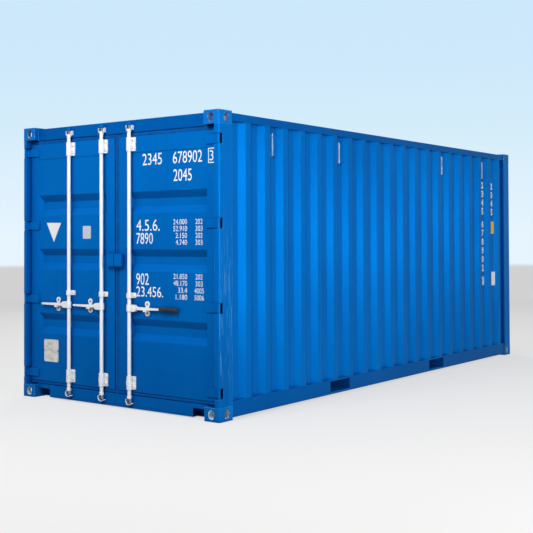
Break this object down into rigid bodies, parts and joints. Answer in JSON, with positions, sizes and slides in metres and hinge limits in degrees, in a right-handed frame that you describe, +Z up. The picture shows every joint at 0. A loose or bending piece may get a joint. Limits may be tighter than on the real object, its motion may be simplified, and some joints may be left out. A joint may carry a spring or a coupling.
{
  "type": "shipping container",
  "caption": "Twenty-foot steel freight container with corrugated walls, hollow corner castings, fork pockets, plywood floor and two hinged doors with lock rods.",
  "frame": {"origin": "middle of the footprint, level with the undersides of the bottom corner castings", "axes": "+X along the length away from the doors, +Y towards the left-hand door seen from outside, +Z up"},
  "size_m": [6.058, 2.438, 2.591],
  "materials": {
    "paint": "satin blue paint",
    "galvanised": "zinc coating",
    "seal": "matte, painted over",
    "plywood": "worn plywood",
    "grip": "matte"
  },
  "bodies": {
    "container": {"bottom_castings": "paint", "top_castings": "paint", "left_rear_post": "paint", "right_rear_post": "paint", "left_front_post": "paint", "right_front_post": "paint", "left_top_rail": "paint", "right_top_rail": "paint", "left_bottom_rail": "paint", "right_bottom_rail": "paint", "left_side_wall": "paint", "right_side_wall": "paint", "left_hinge_pins": "paint", "right_hinge_pins": "paint", "door_header": "paint", "door_sill": "paint", "front_header": "paint", "front_sill": "paint", "front_wall": "paint", "roof": "paint", "cross_members": "paint", "fork_pockets": "paint", "floor_boards": "plywood", "ventilators": "paint", "cam_keepers": "paint"},
    "left_door": {"left_door_frame": "paint", "left_door_panel": "paint", "left_door_gasket": "seal", "left_hinge_blades": "paint", "left_lock_box": "paint", "left_rod_brackets": "galvanised", "left_handle_retainers": "galvanised"},
    "right_door": {"right_door_frame": "paint", "right_door_panel": "paint", "right_door_gasket": "seal", "right_hinge_blades": "paint", "right_lock_box": "paint", "right_rod_brackets": "galvanised", "right_handle_retainer": "galvanised"},
    "left_outer_rod": {"left_outer_lock_rod": "galvanised", "left_outer_cams": "galvanised"},
    "left_inner_rod": {"left_inner_lock_rod": "galvanised", "left_inner_cams": "galvanised"},
    "right_rod": {"right_lock_rod": "galvanised", "right_cams": "galvanised"},
    "left_outer_lever": {"left_outer_handle": "galvanised"},
    "left_inner_lever": {"left_inner_handle": "galvanised"},
    "right_lever": {"right_handle": "galvanised", "right_handle_grip": "grip"}
  },
  "joints": [
    {"name": "left_door_swing", "type": "hinge", "parent": "container", "child": "left_door", "pos_m": [-3.013, 1.201, 1.2925], "axis": [0, 0, -1], "range_deg": [0, 265]},
    {"name": "right_door_swing", "type": "hinge", "parent": "container", "child": "right_door", "pos_m": [-3.013, -1.201, 1.2925], "axis": [0, 0, 1], "range_deg": [0, 265]},
    {"name": "left_outer_rod_turn", "type": "hinge", "parent": "left_door", "child": "left_outer_rod", "pos_m": [-3.003, 0.604, 1.3], "axis": [0, 0, -1], "range_deg": [-90, 0]},
    {"name": "left_inner_rod_turn", "type": "hinge", "parent": "left_door", "child": "left_inner_rod", "pos_m": [-3.003, 0.174, 1.3], "axis": [0, 0, -1], "range_deg": [-90, 0]},
    {"name": "right_rod_turn", "type": "hinge", "parent": "right_door", "child": "right_rod", "pos_m": [-3.003, -0.174, 1.3], "axis": [0, 0, 1], "range_deg": [-90, 0]},
    {"name": "left_outer_handle_lift", "type": "hinge", "parent": "left_outer_rod", "child": "left_outer_lever", "pos_m": [-3.003, 0.666, 0.902], "axis": [-1, 0, 0], "range_deg": [-20, 0]},
    {"name": "left_inner_handle_lift", "type": "hinge", "parent": "left_inner_rod", "child": "left_inner_lever", "pos_m": [-3.003, 0.236, 0.902], "axis": [-1, 0, 0], "range_deg": [-20, 0]},
    {"name": "right_handle_lift", "type": "hinge", "parent": "right_rod", "child": "right_lever", "pos_m": [-3.003, -0.236, 0.902], "axis": [1, 0, 0], "range_deg": [-20, 0]}
  ]
}
